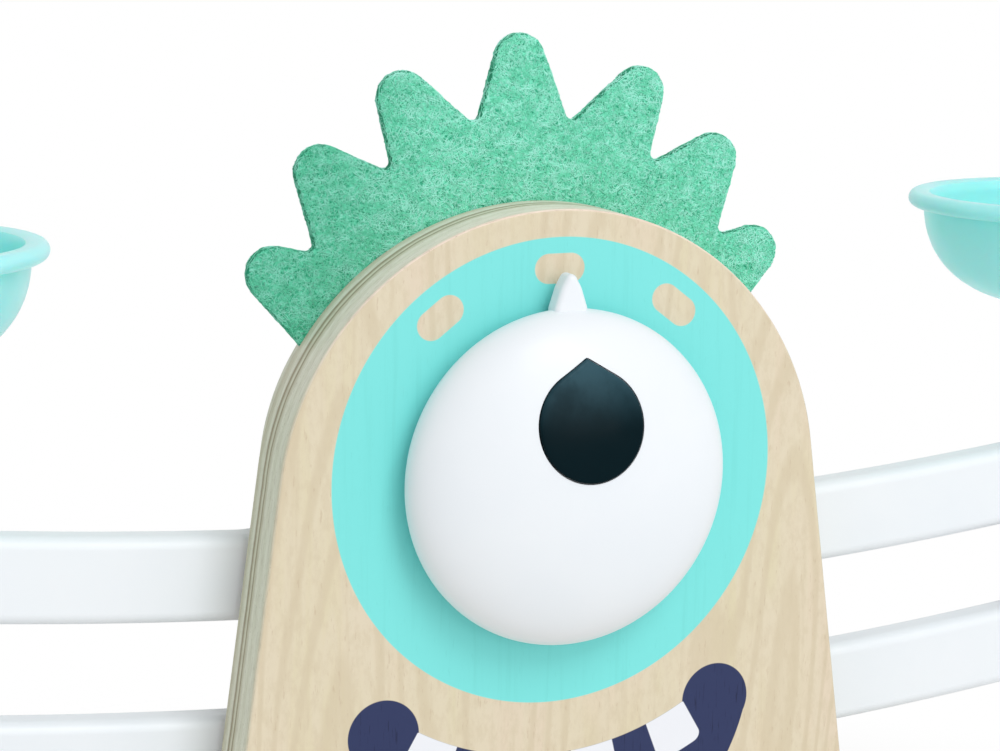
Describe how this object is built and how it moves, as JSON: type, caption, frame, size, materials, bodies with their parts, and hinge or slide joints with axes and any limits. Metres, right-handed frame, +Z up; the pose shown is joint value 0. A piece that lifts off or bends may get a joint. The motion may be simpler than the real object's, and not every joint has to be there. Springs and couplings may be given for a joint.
{
  "type": "math balance",
  "caption": "Wooden monster balance toy: linked beams behind a plywood body carry level bowls, and a turning eye with a pointer shows the heavier side.",
  "frame": {"origin": "on the table under the middle of the toy, at the bottom centre of its bounding box", "axes": "+X to the right as the toy's face is seen, +Y to the back, +Z up; the face looks along -Y"},
  "size_m": [0.3902, 0.116, 0.2686],
  "materials": {
    "plywood": "clear satin varnish, with a printed ring and smile on the front board",
    "beech": "planed and oiled",
    "felt": "thick needle felt",
    "rubber": "matte",
    "nylon": "moulded, matte",
    "steel": "zinc plated",
    "white_plastic": "moulded, satin gloss",
    "mint_plastic": "moulded, satin gloss",
    "pupil_plastic": "high gloss"
  },
  "bodies": {
    "frame": {"base_plate": "plywood", "foot_front_left": "rubber", "foot_front_right": "rubber", "foot_rear_left": "rubber", "foot_rear_right": "rubber", "front_panel": "plywood", "rear_panel": "plywood", "lower_spacer": "beech", "upper_spacer": "beech", "felt_crest": "felt", "axle_bush_front": "nylon", "axle_bush_rear": "nylon", "lower_pivot_pin": "steel", "stop_peg_left": "beech", "stop_peg_right": "beech", "rear_screw_upper_left": "steel", "rear_screw_top": "steel", "rear_screw_upper_right": "steel", "rear_screw_lower_left": "steel", "rear_screw_lower_right": "steel", "base_screw_front_left": "steel", "base_screw_front_right": "steel", "base_screw_middle_left": "steel", "base_screw_middle_right": "steel"},
    "upper_beam": {"upper_beam": "white_plastic", "eye_axle": "steel", "axle_cap": "white_plastic", "eye_hub": "white_plastic", "eye_dome": "white_plastic", "eye_pupil": "pupil_plastic"},
    "lower_beam": {"lower_beam": "white_plastic"},
    "left_post": {"left_post": "white_plastic", "left_upper_pin": "steel", "left_lower_pin": "steel", "left_upper_pin_cap": "white_plastic", "left_lower_pin_cap": "white_plastic"},
    "left_bowl": {"left_bowl": "mint_plastic"},
    "right_post": {"right_post": "white_plastic", "right_upper_pin": "steel", "right_lower_pin": "steel", "right_upper_pin_cap": "white_plastic", "right_lower_pin_cap": "white_plastic"},
    "right_bowl": {"right_bowl": "mint_plastic"}
  },
  "joints": [
    {"name": "beam_tilt", "type": "hinge", "parent": "frame", "child": "upper_beam", "pos_m": [0, 0, 0.165], "axis": [0, 1, 0], "range_deg": [-30, 30]},
    {"name": "lower_beam_tilt", "type": "hinge", "parent": "frame", "child": "lower_beam", "pos_m": [0, 0, 0.1204], "axis": [0, 1, 0], "range_deg": [-30, 30]},
    {"name": "left_post_level", "type": "hinge", "parent": "upper_beam", "child": "left_post", "pos_m": [-0.156, 0, 0.1475], "axis": [0, 1, 0], "range_deg": [-30, 30]},
    {"name": "left_bowl_lift", "type": "slide", "parent": "left_post", "child": "left_bowl", "axis": [0, 0, 1], "range_m": [0, 0.03]},
    {"name": "right_post_level", "type": "hinge", "parent": "upper_beam", "child": "right_post", "pos_m": [0.156, 0, 0.1475], "axis": [0, 1, 0], "range_deg": [-30, 30]},
    {"name": "right_bowl_lift", "type": "slide", "parent": "right_post", "child": "right_bowl", "axis": [0, 0, 1], "range_m": [0, 0.03]}
  ],
  "couplings": [
    {"joint": "lower_beam_tilt", "follows": "beam_tilt", "ratio": 1},
    {"joint": "left_post_level", "follows": "beam_tilt", "ratio": -1},
    {"joint": "right_post_level", "follows": "beam_tilt", "ratio": -1}
  ]
}
